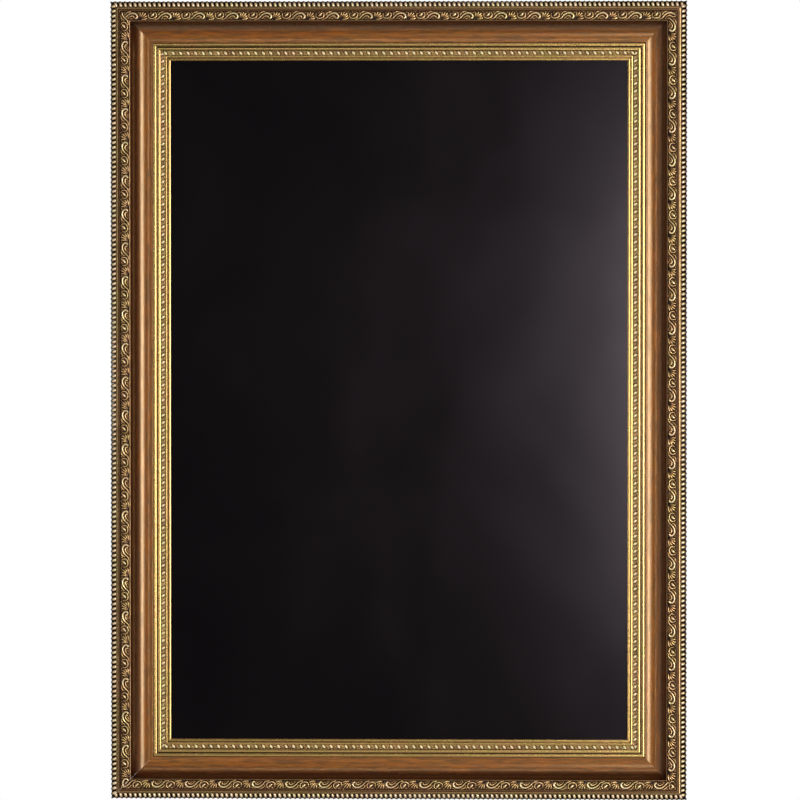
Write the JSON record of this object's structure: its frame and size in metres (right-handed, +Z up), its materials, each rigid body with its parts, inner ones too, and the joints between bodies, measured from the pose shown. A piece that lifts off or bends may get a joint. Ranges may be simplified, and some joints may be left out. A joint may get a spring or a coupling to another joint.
{
  "type": "framed chalkboard",
  "caption": "Upright black chalkboard in a wide mitred scoop moulding with bead and acanthus-scroll borders, a gilt slip, and D-ring hangers on the back.",
  "frame": {"origin": "on the wall plane, midway between the two points where the D-rings bear on their wall hooks", "axes": "+Z up, +X to the right of someone facing the board, -Y out of the chalk face towards that person; the wall is the plane Y = 0"},
  "size_m": [0.65, 0.0412, 0.9],
  "materials": {
    "walnut": "satin walnut-toned lacquer, toned almost black under the lip",
    "aged_gilt": "moulded composition in rubbed antique gilt with dark recesses",
    "gilt": "gilded wood, satin, with an umber wash in the hollows",
    "chalk_surface": "matt black chalkboard paint on fibreboard",
    "zinc_steel": "bright zinc plate",
    "black_steel": "hardened steel, blued",
    "rubber": "soft matt rubber"
  },
  "bodies": {
    "frame": {"rail_top": "walnut", "rail_right": "walnut", "rail_bottom": "walnut", "rail_left": "walnut", "outer_beads_top": "aged_gilt", "outer_beads_right": "aged_gilt", "outer_beads_bottom": "aged_gilt", "outer_beads_left": "aged_gilt", "scroll_top": "aged_gilt", "scroll_right": "aged_gilt", "scroll_bottom": "aged_gilt", "scroll_left": "aged_gilt", "slip_top": "gilt", "slip_right": "gilt", "slip_bottom": "gilt", "slip_left": "gilt", "slip_beads_top": "gilt", "slip_beads_right": "gilt", "slip_beads_bottom": "gilt", "slip_beads_left": "gilt", "chalk_panel": "chalk_surface", "frame_point_top_1": "zinc_steel", "frame_point_top_2": "zinc_steel", "frame_point_right_1": "zinc_steel", "frame_point_right_2": "zinc_steel", "frame_point_right_3": "zinc_steel", "frame_point_bottom_1": "zinc_steel", "frame_point_bottom_2": "zinc_steel", "frame_point_left_1": "zinc_steel", "frame_point_left_2": "zinc_steel", "frame_point_left_3": "zinc_steel", "v_nail_top_left_1": "black_steel", "v_nail_top_left_2": "black_steel", "v_nail_top_right_1": "black_steel", "v_nail_top_right_2": "black_steel", "v_nail_bottom_right_1": "black_steel", "v_nail_bottom_right_2": "black_steel", "v_nail_bottom_left_1": "black_steel", "v_nail_bottom_left_2": "black_steel", "hanger_strap_left": "zinc_steel", "hanger_screw_left_1": "zinc_steel", "hanger_screw_left_2": "zinc_steel", "wall_bumper_left": "rubber", "hanger_strap_right": "zinc_steel", "hanger_screw_right_1": "zinc_steel", "hanger_screw_right_2": "zinc_steel", "wall_bumper_right": "rubber"},
    "ring_left": {"hanger_ring_left": "zinc_steel"},
    "ring_right": {"hanger_ring_right": "zinc_steel"}
  },
  "joints": [
    {"name": "ring_left_swing", "type": "hinge", "parent": "frame", "child": "ring_left", "pos_m": [-0.304, -0.0026, -0.016], "axis": [-1, 0, 0], "range_deg": [-3, 175]},
    {"name": "ring_right_swing", "type": "hinge", "parent": "frame", "child": "ring_right", "pos_m": [0.304, -0.0026, -0.016], "axis": [-1, 0, 0], "range_deg": [-3, 175]}
  ]
}
